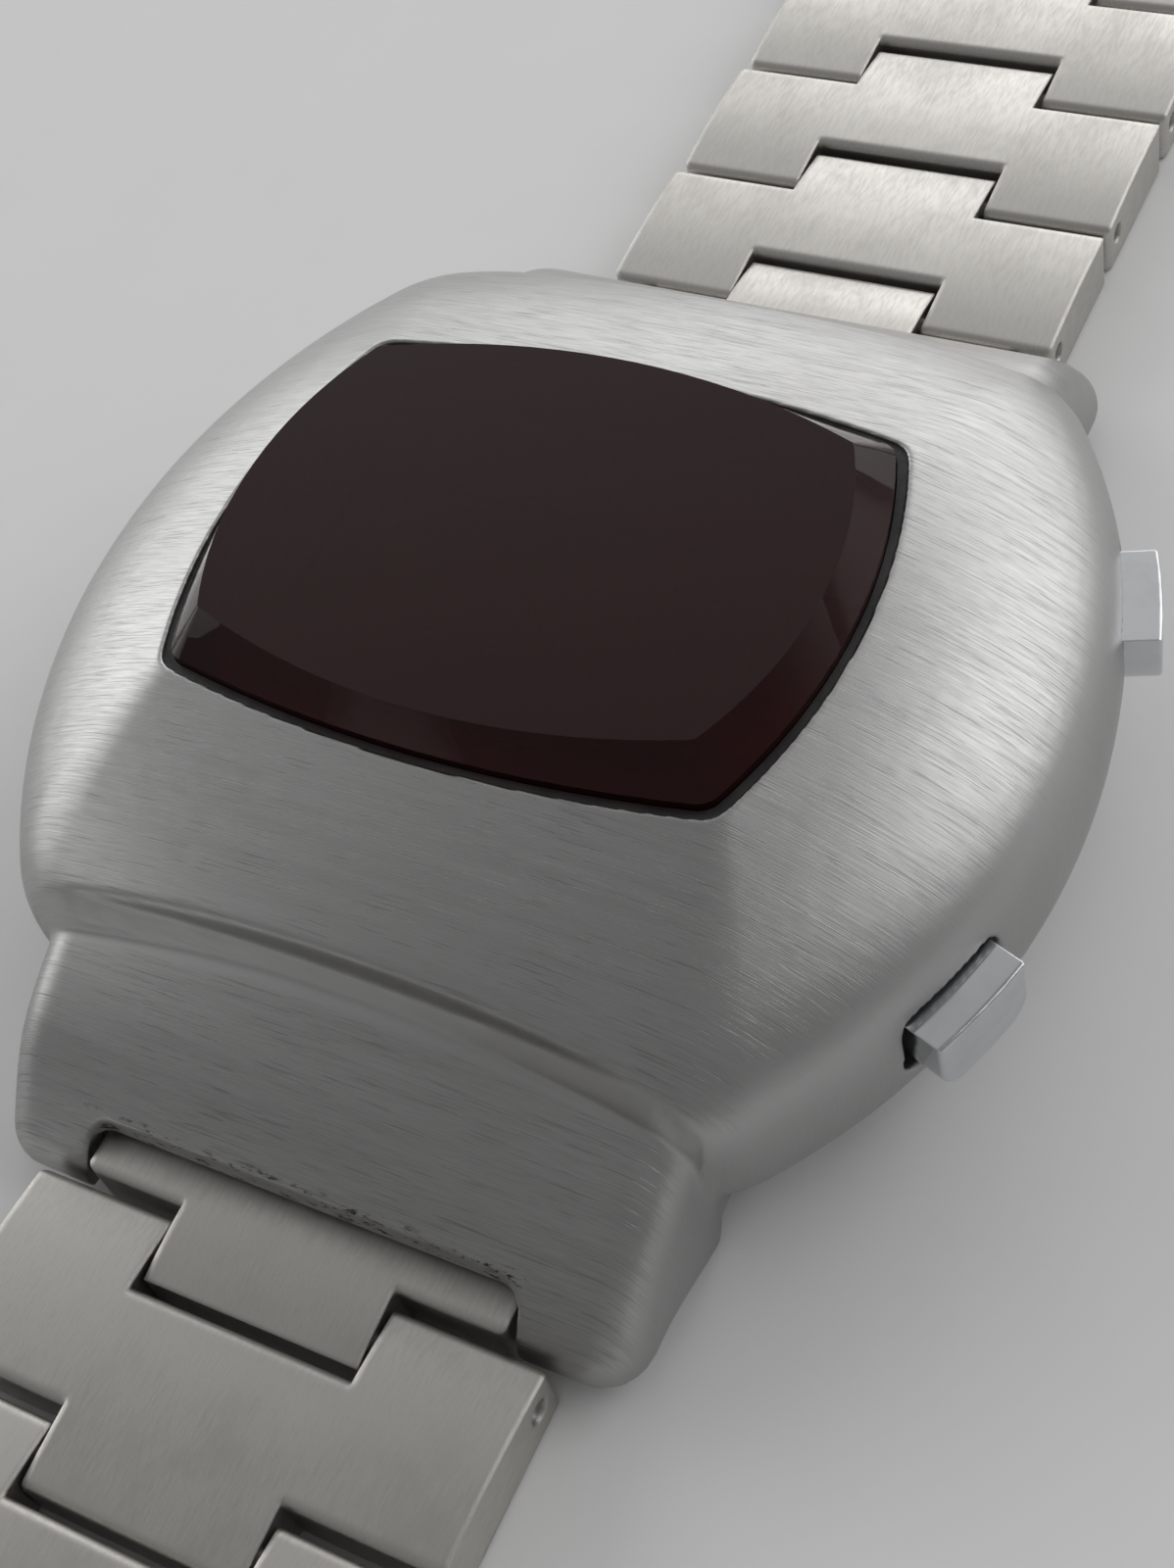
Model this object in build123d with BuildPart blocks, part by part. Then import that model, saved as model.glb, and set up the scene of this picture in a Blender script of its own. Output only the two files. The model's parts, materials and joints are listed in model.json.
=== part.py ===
from build123d import *
import math
import os

os.makedirs("parts", exist_ok=True)

# A steel wrist watch whose lit numerals hide behind a dark red crystal, on an open link bracelet.
# X points to three o'clock, Y to twelve o'clock and Z out of the dial. The origin is the centre of
# the case back's flat outer face, on the table that the watch lies on. Lengths are millimetres.

# Case body, an arched cushion: widest at the waist, drawn in to the crystal's rim above. Its
# last crown level lies past the rim, so that the surface is still smooth where the opening cuts it
waist_level = 6.4
rim_level = 12.0
case_floor = 0.5
case_half_width = 19.5
case_half_height = 18.95
case_side_bulge = 6.0
case_end_bulge = 2.7
case_corner = 5.0
case_tuck = 2.2
crown_sweep_share = 0.667
crown_level_shares = (0.3, 0.56, 0.78, 0.91, 1.0, 1.08)
tuck_level_shares = (1.0, 0.86, 0.62, 0.3, 0.0)

# Opening for the crystal
rim_width = 7.35
opening_half_height = 9.15
opening_side_bulge = 1.6
opening_end_bulge = 1.0
opening_corner = 1.0
rim_land = 0.15
ledge_depth = 1.4
ledge_width = 1.3

# Crystal: a flat top facet with pointed corners above a bevel that widens at the corners
crystal_bevel_width = 1.15
crystal_bevel_height = 1.0
crystal_facet_side_bulge = 1.6
crystal_facet_end_bulge = 1.65
crystal_facet_corner = 0.2
crystal_rise = 1.52
crystal_edge_rise = 0.2
gasket_width = 0.28
gasket_sunk = 0.12
glass_clearance = 0.02

# Hoods that run down from the body to the bracelet at both ends
hood_inset = 6.9
hood_root_depth = 5.95
hood_reach = 3.9
hood_floor = 1.0
hood_tip_height = 0.95
hood_top_depth = 3.55
hood_top_level = 8.8
hood_root_level = 6.5
hood_bulge = 0.5
hood_tip_round = 1.8
hood_edge_round = 1.7

# Brow: the wall left where the body is cut back above each hood
brow_depth = 3.45
brow_bow = 0.5
brow_inset = 0.15
brow_corner = 1.2
brow_edge_round = 0.4

# Module chamber inside the case, open below
chamber_wall = 5.7
chamber_half_height = 9.8
chamber_corner = 5.0
chamber_ceiling = 9.5

# Case back, its seal and its four screws
back_lap = 0.8
back_lap_height = 2.6
back_corner = 4.6
back_thickness = 1.3
back_edge_round = 0.25
back_clearance = 0.1
back_seal_thickness = 0.3
back_seal_inset = 0.2
back_screw_inset_x = 2.3
back_screw_inset_y = 2.1
back_screw_radius = 0.5
back_screw_head_radius = 0.9
back_screw_head_height = 0.45
back_screw_sunk = 0.1
back_screw_bite = 1.6
back_screw_slot = 0.22
screw_clearance = 0.05

# End link pocket and spring bar in each hood
cheek_width = 4.1
notch_depth = 1.5
notch_corner = 0.8
pocket_back_gap = 0.35
pocket_ceiling = 2.95
bar_inset = 2.85
bar_level = 1.6
bar_radius = 0.7
bar_tip_radius = 0.4
bar_tip_length = 0.9
bar_end_gap = 0.12
bar_hole_depth = 1.05
bar_clearance = 0.04

# Bracelet: links with two side arms towards the case and a tongue away from it
strap_half_width = 10.0
strap_floor = 0.1
strap_thickness = 2.5
strap_crown = 0.35
link_pitch = 7.5
link_count = 6
tongue_half_width = 4.2
tongue_side_gap = 0.2
arm_reach = 1.05
arm_gap = 0.5
tip_reach = 1.2
tip_gap = 0.42
pin_radius = 0.45
pin_recess = 0.2
pin_clearance = 0.04
first_pin_gap = 1.35
link_end_round = 0.35
link_corner = 0.3

# End link
end_link_side_gap = 0.25
end_link_floor = 0.3
end_link_shoulder_gap = 0.43
end_link_knuckle_radius = 1.1
end_link_round = 0.3

# Push buttons on the three o'clock side
button_level = 5.2
button_reach = 8.35
button_length = 4.1
button_height = 2.6
button_proud = 1.25
button_depth = 0.75
button_lower_round = 1.0
button_upper_round = 0.15
button_travel = 0.6
button_pocket_gap = 0.28
button_pocket_round = 0.7
button_pocket_depth = 1.9
stem_radius = 0.55
stem_past_chamber = 1.0
stem_clearance = 0.03
clip_radius = 1.0
clip_thickness = 0.25
clip_slack = 0.2
seal_radius = 1.0
seal_thickness = 0.7
seal_seat_depth = 0.8
spring_coil_radius = 0.82
spring_wire_radius = 0.09
spring_turns = 3.5
spring_seat_radius = 1.02
spring_seat_depth = 0.5
spring_slack = 0.06

# Electronic module
module_clearance = 0.2
module_floor = 2.05
module_top = 9.1
board_margin = 1.4
board_corner = 4.0
board_level = 6.6
board_thickness = 0.7
board_clearance = 0.1
cell_end_gap = 1.65
cell_web = 1.1
cell_floor = 2.0
cell_can_height = 3.6
cell_cap_height = 0.5
cell_cap_inset = 0.9
cell_clearance = 0.1
contact_thickness = 0.15
contact_width = 2.4
contact_inset = 2.4
contact_ramp = 1.6
display_margin = 4.2
display_margin_height = 4.5
display_thickness = 0.7
digit_height = 5.0
digit_gap = 1.6
digit_margin = 1.0
digit_count = 4
digit_slant = 8.0
segment_width = 0.45
segment_thickness = 0.2
segment_gap = 0.12
colon_radius = 0.3
colon_offset = 1.1
mask_thickness = 0.3
mask_inset = 0.6
mask_window_inset_x = 0.6
mask_window_inset_y = 0.5
mask_window_corner = 0.6
chip_length = 6.6
chip_width = 2.4
chip_height = 1.2
chip_lead_length = 0.6
chip_lead_width = 0.35
chip_lead_pitch = 0.9
chip_lead_count = 7
chip_lead_thickness = 0.15
chip_inset = 2.1
can_radius = 0.95
can_length = 6.0
can_inset = 2.55
trimmer_radius = 1.15
trimmer_height = 1.3
trimmer_inset = 2.55
trimmer_slot_width = 0.3
part_pocket_gap = 0.12
capacitor_length = 1.6
capacitor_width = 0.9
capacitor_height = 0.8
capacitor_pitch = 2.4
capacitor_count = 3
capacitor_inset = 2.2
switch_pad_thickness = 0.15
switch_pad_height = 1.6
switch_pad_width = 2.2
switch_pad_gap = 0.1
switch_bay_width = 4.2
switch_bay_height = 2.8

# Clasp: a channel with a folding cover on one strap and a hook plate on the other
clasp_length = 28.0
clasp_half_width = 8.9
clasp_wall = 0.8
clasp_floor_thickness = 0.6
clasp_end_round = 1.2
clasp_arm_round = 0.9
adjust_hole_count = 4
adjust_hole_pitch = 2.6
adjust_hole_start = 6.6
anchor_inset = 6.0
anchor_level = 1.45
anchor_radius = 0.55
catch_radius = 0.3
catch_proud = 0.3
catch_inset = 2.8
catch_level = 2.2
hinge_reach = 3.0
hinge_level = 3.1
hinge_radius = 0.95
hinge_half_width = 4.0
hinge_gap = 0.15
ear_width = 1.9
cover_half_width = 9.9
cover_thickness = 0.7
cover_lift = 0.25
cover_crown = 0.45
cover_corner = 0.7
cover_top_round = 0.4
cover_skirt = 0.6
cover_skirt_drop = 0.95
cover_overhang = 0.9
cover_start_gap = 0.2
hook_half_width = 6.6
hook_length = 8.0
hook_thickness = 0.75
hook_drop = 1.0
hook_plate_level = 1.55
hook_arm_radius = 0.95
hook_arm_length = 3.0
hook_corner = 0.8

# One overrun for cuts that pass right through
overrun = 2.0

sides = {"12": 1, "06": -1}


def finish(part, name):
    """Labels a finished piece and writes it out."""
    part.label = name
    export_step(part, f"parts/{name}.step")


def cushion(half_width, half_height, side_bulge, end_bulge, corner):
    """An outline with four arched sides and round corners, centred on the origin."""
    corner_x = half_width - side_bulge
    corner_y = half_height - end_bulge
    with BuildSketch() as outline:
        with BuildLine():
            ThreePointArc((corner_x, -corner_y), (half_width, 0), (corner_x, corner_y))
            ThreePointArc((corner_x, corner_y), (0, half_height), (-corner_x, corner_y))
            ThreePointArc((-corner_x, corner_y), (-half_width, 0), (-corner_x, -corner_y))
            ThreePointArc((-corner_x, -corner_y), (0, -half_height), (corner_x, -corner_y))
        make_face()
        fillet(outline.vertices(), corner)
    return outline.sketch


def rounded(half_width, half_height, corner):
    """A rectangle with round corners, centred on the origin."""
    with BuildSketch() as outline:
        RectangleRounded(2 * half_width, 2 * half_height, corner)
    return outline.sketch


def strap_plan(side, reach, level):
    """A level plane whose local Y runs out along a strap."""
    return Plane(origin=(0, side * reach, level), x_dir=(side, 0, 0), z_dir=(0, 0, 1))


def strap_profile(side, reach, level=0):
    """An upright plane on the strap's centre line: local X runs out along the strap, local Y up."""
    return Plane(origin=(0, side * reach, level), x_dir=(0, side, 0), z_dir=(side, 0, 0))


# Widths and heights that follow the case's own
opening_half_width = case_half_width - rim_width
crystal_facet_half_width = opening_half_width - crystal_bevel_width
crystal_facet_half_height = opening_half_height - crystal_bevel_height
chamber_half_width = case_half_width - chamber_wall
back_half_width = chamber_half_width + back_lap
back_half_height = chamber_half_height + back_lap_height
hood_half_width = case_half_width - hood_inset
hood_root = case_half_height - hood_root_depth
hood_end = case_half_height + hood_reach
hood_top_start = case_half_height - hood_top_depth
brow_reach = case_half_height - brow_depth
brow_half_width = hood_half_width - brow_inset
notch_half_width = hood_half_width - cheek_width
notch_open_reach = hood_end - notch_depth
bar_reach = hood_end - bar_inset
pocket_back_reach = bar_reach - end_link_knuckle_radius - pocket_back_gap
first_pin_reach = hood_end + first_pin_gap
board_half_width = chamber_half_width - board_margin
board_half_height = chamber_half_height - board_margin
cell_radius = (chamber_half_width - cell_end_gap - cell_web / 2) / 2
cell_spread = cell_radius + cell_web / 2
cell_cap_radius = cell_radius - cell_cap_inset
contact_half_length = cell_radius - contact_inset
display_half_width = chamber_half_width - display_margin
display_half_height = board_half_height - display_margin_height
digit_spread = 2 * (display_half_width - digit_margin) / digit_count
digit_width = digit_spread - digit_gap
mask_window_half_width = display_half_width - mask_window_inset_x
mask_window_half_height = display_half_height - mask_window_inset_y
can_reach = chamber_half_height - can_inset
trimmer_reach = chamber_half_height - trimmer_inset
chip_reach = board_half_height - chip_inset
capacitor_reach = board_half_height - capacitor_inset
anchor_reach = clasp_length - anchor_inset
catch_reach = clasp_length - catch_inset

# Outline values in the order that cushion takes them
rim_outline = (
    opening_half_width + rim_land,
    opening_half_height + rim_land,
    opening_side_bulge,
    opening_end_bulge,
    opening_corner + rim_land,
)
waist_outline = (case_half_width, case_half_height, case_side_bulge, case_end_bulge, case_corner)


def crown_outline(share):
    """The body's outline at a share of the height from the waist to the rim, on an elliptic shoulder."""
    least = math.sqrt(1 - crown_sweep_share**2)
    spread = (math.sqrt(1 - (crown_sweep_share * share) ** 2) - least) / (1 - least)
    return [rim + spread * (waist - rim) for rim, waist in zip(rim_outline, waist_outline)]


def tuck_outline(share):
    """The body's outline at a share of the depth from the waist to the floor, drawn in below."""
    inset = case_tuck * share**4
    return [
        case_half_width - inset,
        case_half_height - inset,
        case_side_bulge,
        case_end_bulge,
        case_corner - inset,
    ]


# Outlines of what sits in the case
opening_outline = (
    opening_half_width,
    opening_half_height,
    opening_side_bulge,
    opening_end_bulge,
    opening_corner,
)
ledge_level = rim_level - ledge_depth
ledge_outline = (
    opening_half_width - ledge_width,
    opening_half_height - ledge_width,
    opening_side_bulge,
    opening_end_bulge,
    opening_corner,
)
crystal_inset = gasket_width + glass_clearance
crystal_outline = (
    opening_half_width - crystal_inset,
    opening_half_height - crystal_inset,
    opening_side_bulge,
    opening_end_bulge,
    opening_corner - crystal_inset / 2,
)
facet_outline = (
    crystal_facet_half_width,
    crystal_facet_half_height,
    crystal_facet_side_bulge,
    crystal_facet_end_bulge,
    crystal_facet_corner,
)

# Levels and places that several pieces share
strap_top = strap_floor + strap_thickness
pin_level = strap_floor + strap_thickness / 2
back_seat = back_thickness + back_seal_thickness
side_corner_y = case_half_height - case_end_bulge
side_arc_radius = (side_corner_y**2 + case_side_bulge**2) / (2 * case_side_bulge)
side_arc_centre = case_half_width - side_arc_radius
button_angle = math.degrees(math.asin(button_reach / side_arc_radius))
button_direction_x = math.cos(math.radians(button_angle))
button_direction_y = math.sin(math.radians(button_angle))
button_wall_x = side_arc_centre + side_arc_radius * button_direction_x
chamber_centre_x = chamber_half_width - chamber_corner
chamber_centre_y = chamber_half_height - chamber_corner
stem_along = (button_wall_x - chamber_centre_x) * button_direction_x + (
    button_reach - chamber_centre_y
) * button_direction_y
stem_across = (button_wall_x - chamber_centre_x) * button_direction_y - (
    button_reach - chamber_centre_y
) * button_direction_x
chamber_wall_depth = stem_along - math.sqrt(chamber_corner**2 - stem_across**2)
switch_bay_back = (
    chamber_wall_depth
    + stem_past_chamber
    + button_travel
    + switch_pad_gap
    + switch_pad_thickness
)
screw_places = [
    (x * (back_half_width - back_screw_inset_x), y * (back_half_height - back_screw_inset_y))
    for x in (-1, 1)
    for y in (-1, 1)
]


def button_plane(side, depth):
    """A plane square to a button's stem, a depth inside the case wall: local X along the wall, Y up."""
    return Plane(
        origin=(
            button_wall_x - depth * button_direction_x,
            side * (button_reach - depth * button_direction_y),
            button_level,
        ),
        x_dir=(-side * button_direction_y, button_direction_x, 0),
        z_dir=(button_direction_x, side * button_direction_y, 0),
    )


# One hood, before it joins the body
hood_tip_level = hood_floor + hood_tip_height
hood_run = hood_end - hood_top_start
hood_fall = hood_top_level - hood_tip_level
hood_slope = math.hypot(hood_run, hood_fall)
hood_middle = (
    (hood_top_start + hood_end) / 2 + hood_bulge * hood_fall / hood_slope,
    (hood_top_level + hood_tip_level) / 2 + hood_bulge * hood_run / hood_slope,
)


def hood_blank(side):
    """A hood's solid: an arched slope from the brow to the tips, with round long edges."""
    with BuildPart() as blank:
        with BuildSketch(strap_profile(side, 0)) as outline:
            with BuildLine():
                Polyline(
                    (hood_top_start, hood_top_level),
                    (hood_root, hood_root_level),
                    (hood_root, hood_floor),
                    (hood_end, hood_floor),
                    (hood_end, hood_tip_level),
                )
                ThreePointArc(
                    (hood_end, hood_tip_level), hood_middle, (hood_top_start, hood_top_level)
                )
            make_face()
            tip = outline.vertices().sort_by_distance(Vector(hood_end, hood_tip_level))[0]
            fillet(tip, hood_tip_round)
        extrude(amount=hood_half_width, both=True)
        flanks = blank.faces().group_by(Axis.X)
        long_edges = flanks[0].edges() + flanks[-1].edges()
        slope_edges = long_edges.filter_by(
            lambda edge: abs(edge.center().Y) > hood_top_start
            and edge.center().Z > hood_floor + hood_tip_height / 2
        )
        fillet(slope_edges, hood_edge_round)
    return blank.part


def brow_cutter(side):
    """The space above a hood that is cut from the body, whose inner wall bows in slightly."""
    wall_ends = brow_reach + brow_bow
    with BuildPart() as cutter:
        with BuildSketch(strap_plan(side, 0, hood_floor + hood_tip_height / 2)) as plan:
            with BuildLine():
                ThreePointArc(
                    (-brow_half_width, wall_ends), (0, brow_reach), (brow_half_width, wall_ends)
                )
                Polyline(
                    (brow_half_width, wall_ends),
                    (brow_half_width, hood_end),
                    (-brow_half_width, hood_end),
                    (-brow_half_width, wall_ends),
                )
            make_face()
            fillet(plan.vertices().group_by(Axis.Y)[0], brow_corner)
        extrude(amount=rim_level)
    return cutter.part


def notch_sketch(half_width, corner, start):
    """An end link's notch in plan: open at the far end, with round inner corners."""
    with BuildSketch() as plan:
        with Locations((0, start)):
            Rectangle(
                2 * half_width, hood_end + overrun - start, align=(Align.CENTER, Align.MIN)
            )
        fillet(plan.vertices().group_by(Axis.Y)[0], corner)
    return plan.sketch


def button_pocket_outline():
    """The round-ended mouth of a button's pocket."""
    return rounded(
        button_length / 2 + button_pocket_gap,
        button_height / 2 + button_pocket_gap,
        button_pocket_round,
    )


with BuildPart() as case_shell:
    for share in tuck_level_shares:
        with BuildSketch(Plane.XY.offset(waist_level - share * (waist_level - case_floor))):
            add(cushion(*tuck_outline(share)))
    for share in crown_level_shares:
        with BuildSketch(Plane.XY.offset(waist_level + share * (rim_level - waist_level))):
            add(cushion(*crown_outline(share)))
    loft()
    for side in sides.values():
        add(brow_cutter(side), mode=Mode.SUBTRACT)
    brow_edges = case_shell.edges().filter_by(
        lambda edge: abs(abs(edge.center().Y) - brow_reach) < brow_bow / 2
        and edge.center().Z > waist_level
        and edge.length > brow_half_width
    )
    fillet(brow_edges, brow_edge_round)
    for side in sides.values():
        add(hood_blank(side))
    # The crystal's opening, its ledge and the chamber below
    with BuildSketch(Plane.XY.offset(ledge_level)):
        add(cushion(*opening_outline))
    extrude(amount=ledge_depth + overrun, mode=Mode.SUBTRACT)
    with BuildSketch(Plane.XY.offset(chamber_ceiling)):
        add(cushion(*ledge_outline))
    extrude(amount=ledge_depth + overrun, mode=Mode.SUBTRACT)
    with BuildSketch(Plane.XY.offset(chamber_ceiling)):
        add(rounded(chamber_half_width, chamber_half_height, chamber_corner))
    extrude(amount=-chamber_ceiling, mode=Mode.SUBTRACT)
    # The case back's seat and its screw holes
    with BuildSketch(Plane.XY.offset(back_seat)):
        add(
            rounded(
                back_half_width + back_clearance,
                back_half_height + back_clearance,
                back_corner + back_clearance,
            )
        )
    extrude(amount=-(back_seat + overrun), mode=Mode.SUBTRACT)
    with BuildSketch(Plane.XY.offset(back_seat)):
        with Locations(*screw_places):
            Circle(back_screw_radius)
    extrude(amount=back_screw_bite, mode=Mode.SUBTRACT)
    # The notches, the pockets under the hoods and the holes for the spring bars' tips
    for side in sides.values():
        with BuildSketch(strap_plan(side, 0, -overrun)):
            add(notch_sketch(notch_half_width, notch_corner, notch_open_reach))
        extrude(amount=rim_level, mode=Mode.SUBTRACT)
        with BuildSketch(strap_plan(side, 0, -overrun)):
            add(notch_sketch(notch_half_width, notch_corner / 2, pocket_back_reach))
        extrude(amount=pocket_ceiling + overrun, mode=Mode.SUBTRACT)
        with BuildSketch(strap_profile(side, bar_reach, bar_level)):
            Circle(bar_tip_radius + bar_clearance)
        extrude(amount=notch_half_width + bar_hole_depth, both=True, mode=Mode.SUBTRACT)
    # The push buttons' pockets, the seats of their seals and their stems' holes
    for side in (1, -1):
        with BuildSketch(button_plane(side, button_pocket_depth)):
            add(button_pocket_outline())
        extrude(amount=button_pocket_depth + overrun, mode=Mode.SUBTRACT)
        with BuildSketch(button_plane(side, button_pocket_depth)):
            Circle(seal_radius + stem_clearance)
        extrude(amount=-seal_seat_depth, mode=Mode.SUBTRACT)
        with BuildSketch(button_plane(side, button_pocket_depth)):
            Circle(stem_radius + stem_clearance)
        extrude(amount=-(chamber_wall_depth + overrun), mode=Mode.SUBTRACT)
finish(case_shell.part, "case_shell")

with BuildPart() as crystal:
    with BuildSketch(Plane.XY.offset(ledge_level)):
        add(cushion(*crystal_outline))
    extrude(amount=ledge_depth + crystal_edge_rise)
    with BuildSketch(Plane.XY.offset(rim_level + crystal_edge_rise)):
        add(cushion(*crystal_outline))
    with BuildSketch(Plane.XY.offset(rim_level + crystal_rise)):
        add(cushion(*facet_outline))
    loft(ruled=True)
finish(crystal.part, "crystal")

with BuildPart() as crystal_gasket:
    with BuildSketch(Plane.XY.offset(ledge_level)):
        add(cushion(*opening_outline))
        add(
            cushion(
                opening_half_width - gasket_width,
                opening_half_height - gasket_width,
                opening_side_bulge,
                opening_end_bulge,
                opening_corner - gasket_width / 2,
            ),
            mode=Mode.SUBTRACT,
        )
    extrude(amount=ledge_depth - gasket_sunk)
finish(crystal_gasket.part, "crystal_gasket")

# Case back, seal and screws
with BuildPart() as case_back:
    with BuildSketch(Plane.XY):
        add(rounded(back_half_width, back_half_height, back_corner))
    extrude(amount=back_thickness)
    fillet(case_back.edges().group_by(Axis.Z)[0], back_edge_round)
    with BuildSketch(Plane.XY):
        with Locations(*screw_places):
            Circle(back_screw_head_radius + screw_clearance)
    extrude(amount=back_screw_sunk + back_screw_head_height, mode=Mode.SUBTRACT)
    with BuildSketch(Plane.XY):
        with Locations(*screw_places):
            Circle(back_screw_radius + screw_clearance)
    extrude(amount=back_thickness, mode=Mode.SUBTRACT)
finish(case_back.part, "case_back")

with BuildPart() as case_back_seal:
    with BuildSketch(Plane.XY.offset(back_thickness)):
        add(
            rounded(
                back_half_width - back_seal_inset,
                back_half_height - back_seal_inset,
                back_corner - back_seal_inset,
            )
        )
        add(
            rounded(
                chamber_half_width + back_seal_inset,
                chamber_half_height + back_seal_inset,
                chamber_corner + back_seal_inset,
            ),
            mode=Mode.SUBTRACT,
        )
        with Locations(*screw_places):
            Circle(back_screw_radius + screw_clearance, mode=Mode.SUBTRACT)
    extrude(amount=back_seal_thickness)
finish(case_back_seal.part, "case_back_seal")

with BuildPart() as case_back_screws:
    with BuildSketch(Plane.XY.offset(back_screw_sunk)):
        with Locations(*screw_places):
            Circle(back_screw_head_radius)
    extrude(amount=back_screw_head_height)
    with BuildSketch(Plane.XY.offset(back_screw_sunk)):
        with Locations(*screw_places):
            Circle(back_screw_radius)
    extrude(amount=back_seat + back_screw_bite - back_screw_sunk - screw_clearance)
    with BuildSketch(Plane.XY.offset(back_screw_sunk)):
        with Locations(*screw_places):
            Rectangle(3 * back_screw_head_radius, back_screw_slot)
    extrude(amount=back_screw_head_height / 2, mode=Mode.SUBTRACT)
finish(case_back_screws.part, "case_back_screws")


def push_button(side, name):
    """A button's head, flat above and round below, on the stem that slides through the case wall."""
    with BuildPart() as button:
        with BuildSketch(button_plane(side, button_depth)) as outline:
            Rectangle(button_length, button_height)
            corners = outline.vertices().group_by(Axis.Y)
            fillet(corners[0], button_lower_round)
            fillet(corners[-1], button_upper_round)
        extrude(amount=button_depth + 2 * button_proud)
        with BuildSketch(Plane.XY.offset(button_level - button_height)):
            with Locations((side_arc_centre, 0)):
                Circle(side_arc_radius + button_proud)
        extrude(amount=2 * button_height, mode=Mode.INTERSECT)
        outer_edges = button.faces().sort_by(Axis.X)[-1].edges()
        fillet(outer_edges, button_upper_round)
        with BuildSketch(button_plane(side, button_depth)):
            Circle(spring_seat_radius)
        extrude(amount=spring_seat_depth, mode=Mode.SUBTRACT)
        with BuildSketch(button_plane(side, button_depth - spring_seat_depth)):
            Circle(stem_radius)
        extrude(
            amount=-(chamber_wall_depth + stem_past_chamber - button_depth + spring_seat_depth)
        )
    finish(button.part, name)


def stem_clip(side, name):
    """The split washer that keeps a stem in the case, gripped in the stem's end."""
    depth = chamber_wall_depth + clip_slack
    with BuildPart() as clip:
        with BuildSketch(button_plane(side, depth)):
            Circle(clip_radius)
            Circle(stem_radius, mode=Mode.SUBTRACT)
            with Locations((0, -clip_radius)):
                Rectangle(stem_radius, 2 * clip_radius, mode=Mode.SUBTRACT)
        extrude(amount=-clip_thickness)
    finish(clip.part, name)


def return_spring(side, name):
    """The coil between a button's head and the floor of its pocket."""
    foot = button_pocket_depth - spring_wire_radius - spring_slack
    head = button_depth - spring_seat_depth + spring_wire_radius + spring_slack
    place = button_plane(side, foot)
    coil = Helix(
        pitch=(foot - head) / spring_turns, height=foot - head, radius=spring_coil_radius
    )
    path = place.location * coil
    with BuildPart() as spring:
        with BuildSketch(Plane(origin=path @ 0, z_dir=path % 0)):
            Circle(spring_wire_radius)
        sweep(path=path)
    finish(spring.part, name)


for side, word in ((1, "upper"), (-1, "lower")):
    push_button(side, f"button_{word}")
    stem_clip(side, f"button_clip_{word}")
    return_spring(side, f"button_spring_{word}")

with BuildPart() as button_seals:
    for side in (1, -1):
        with BuildSketch(button_plane(side, button_pocket_depth + seal_seat_depth)):
            Circle(seal_radius)
            Circle(stem_radius + stem_clearance / 2, mode=Mode.SUBTRACT)
        extrude(amount=seal_thickness)
finish(button_seals.part, "button_seals")

# Electronic module: frame, cells, contacts, board and what the board carries
with BuildPart() as module_frame:
    with BuildSketch(Plane.XY.offset(module_floor)):
        add(
            rounded(
                chamber_half_width - module_clearance,
                chamber_half_height - module_clearance,
                chamber_corner - module_clearance,
            )
        )
    extrude(amount=module_top - module_floor)
    with BuildSketch(Plane.XY.offset(board_level)):
        add(
            rounded(
                board_half_width + board_clearance,
                board_half_height + board_clearance,
                board_corner + board_clearance,
            )
        )
    extrude(amount=module_top, mode=Mode.SUBTRACT)
    with BuildSketch(Plane.XY.offset(board_level)):
        with Locations((-cell_spread, 0), (cell_spread, 0)):
            Circle(cell_radius + cell_clearance)
    extrude(amount=-board_level, mode=Mode.SUBTRACT)
    with BuildSketch(Plane.XY.offset(board_level)):
        with Locations((0, can_reach)):
            Rectangle(can_length + 2 * part_pocket_gap, 2 * (can_radius + part_pocket_gap))
    extrude(amount=-2 * (can_radius + part_pocket_gap), mode=Mode.SUBTRACT)
    with BuildSketch(Plane.XY.offset(board_level)):
        with Locations((0, -trimmer_reach)):
            Circle(trimmer_radius + part_pocket_gap)
    extrude(amount=-(trimmer_height + part_pocket_gap), mode=Mode.SUBTRACT)
    for side in (1, -1):
        with BuildSketch(button_plane(side, chamber_wall_depth - overrun)):
            with Locations((0, board_level - button_level)):
                Rectangle(
                    switch_bay_width, switch_bay_height, align=(Align.CENTER, Align.MAX)
                )
        extrude(amount=-(switch_bay_back - chamber_wall_depth + overrun), mode=Mode.SUBTRACT)
finish(module_frame.part, "module_frame")

with BuildPart() as cells:
    with BuildSketch(Plane.XY.offset(cell_floor)):
        with Locations((-cell_spread, 0), (cell_spread, 0)):
            Circle(cell_radius)
    extrude(amount=cell_can_height)
    with BuildSketch(Plane.XY.offset(cell_floor + cell_can_height)):
        with Locations((-cell_spread, 0), (cell_spread, 0)):
            Circle(cell_cap_radius)
    extrude(amount=cell_cap_height)
finish(cells.part, "power_cells")

cell_top = cell_floor + cell_can_height + cell_cap_height
with BuildPart() as cell_contacts:
    with BuildSketch(Plane.XY.offset(cell_floor - contact_thickness)):
        Rectangle(2 * (cell_spread + contact_half_length), contact_width)
    extrude(amount=contact_thickness)
    with BuildSketch(Plane.XZ):
        for side in (1, -1):
            with BuildLine():
                Polyline(
                    (side * (cell_spread - contact_half_length), cell_top),
                    (side * cell_spread, cell_top),
                    (side * (cell_spread + contact_ramp), board_level - contact_thickness),
                    (side * (cell_spread + contact_half_length), board_level - contact_thickness),
                    (side * (cell_spread + contact_half_length), board_level),
                    (side * (cell_spread + contact_ramp), board_level),
                    (side * cell_spread, cell_top + contact_thickness),
                    (side * (cell_spread - contact_half_length), cell_top + contact_thickness),
                    close=True,
                )
            make_face()
    extrude(amount=contact_width / 2, both=True)
finish(cell_contacts.part, "cell_contacts")

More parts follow.
